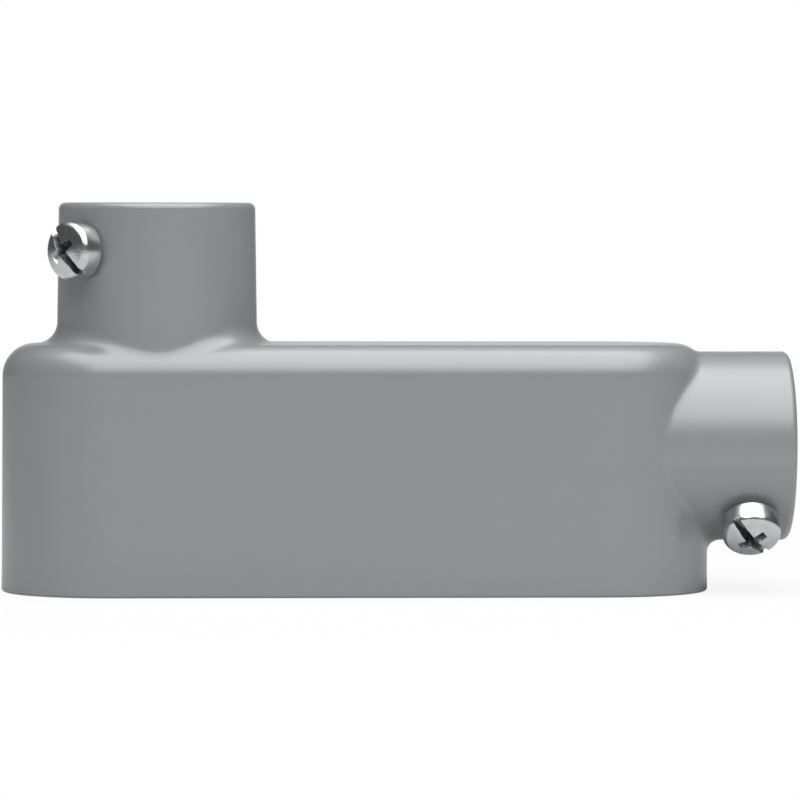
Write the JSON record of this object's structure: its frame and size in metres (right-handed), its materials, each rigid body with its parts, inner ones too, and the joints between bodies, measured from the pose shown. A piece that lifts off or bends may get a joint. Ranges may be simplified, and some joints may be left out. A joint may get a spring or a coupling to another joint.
{
  "type": "conduit body",
  "caption": "Long die-cast conduit body that turns a tube run through a right angle, with a set-screw hub on its back and one on its end, and a gasketed cover underneath.",
  "frame": {"origin": "on the underside of the rim, below the middle of the overall length, on the body's mid-plane", "axes": "+X out of the end hub, +Z out of the back hub, away from the cover; +Y away from the side that the set screws lean to"},
  "size_m": [0.1202, 0.0336, 0.0592],
  "materials": {
    "cast_paint": "grey powder coat over die-cast aluminium, semi-gloss",
    "cover_paint": "grey powder coat over aluminium plate, semi-gloss",
    "gasket_rubber": "matt black neoprene",
    "cover_screw_zinc": "bright zinc-plated steel",
    "set_screw_zinc": "bright zinc-plated steel"
  },
  "bodies": {
    "body": {"housing": "cast_paint"},
    "cover_plate": {"cover": "cover_paint", "gasket": "gasket_rubber"},
    "left_cover_screw": {"cover_screw_left": "cover_screw_zinc"},
    "right_cover_screw": {"cover_screw_right": "cover_screw_zinc"},
    "back_screw": {"back_set_screw": "set_screw_zinc"},
    "end_screw": {"end_set_screw": "set_screw_zinc"}
  },
  "joints": [
    {"name": "cover_lift", "type": "slide", "parent": "body", "child": "cover_plate", "axis": [0, 0, -1], "range_m": [0, 0.02]},
    {"name": "left_cover_screw_out", "type": "slide", "parent": "cover_plate", "child": "left_cover_screw", "axis": [0, 0, -1], "range_m": [0, 0.01]},
    {"name": "right_cover_screw_out", "type": "slide", "parent": "cover_plate", "child": "right_cover_screw", "axis": [0, 0, -1], "range_m": [0, 0.01]},
    {"name": "back_screw_travel", "type": "slide", "parent": "body", "child": "back_screw", "axis": [-0.7193, -0.6947, 0], "range_m": [-0.00045, 0.004]},
    {"name": "end_screw_travel", "type": "slide", "parent": "body", "child": "end_screw", "axis": [0, -0.7071, -0.7071], "range_m": [-0.0009, 0.004]}
  ]
}
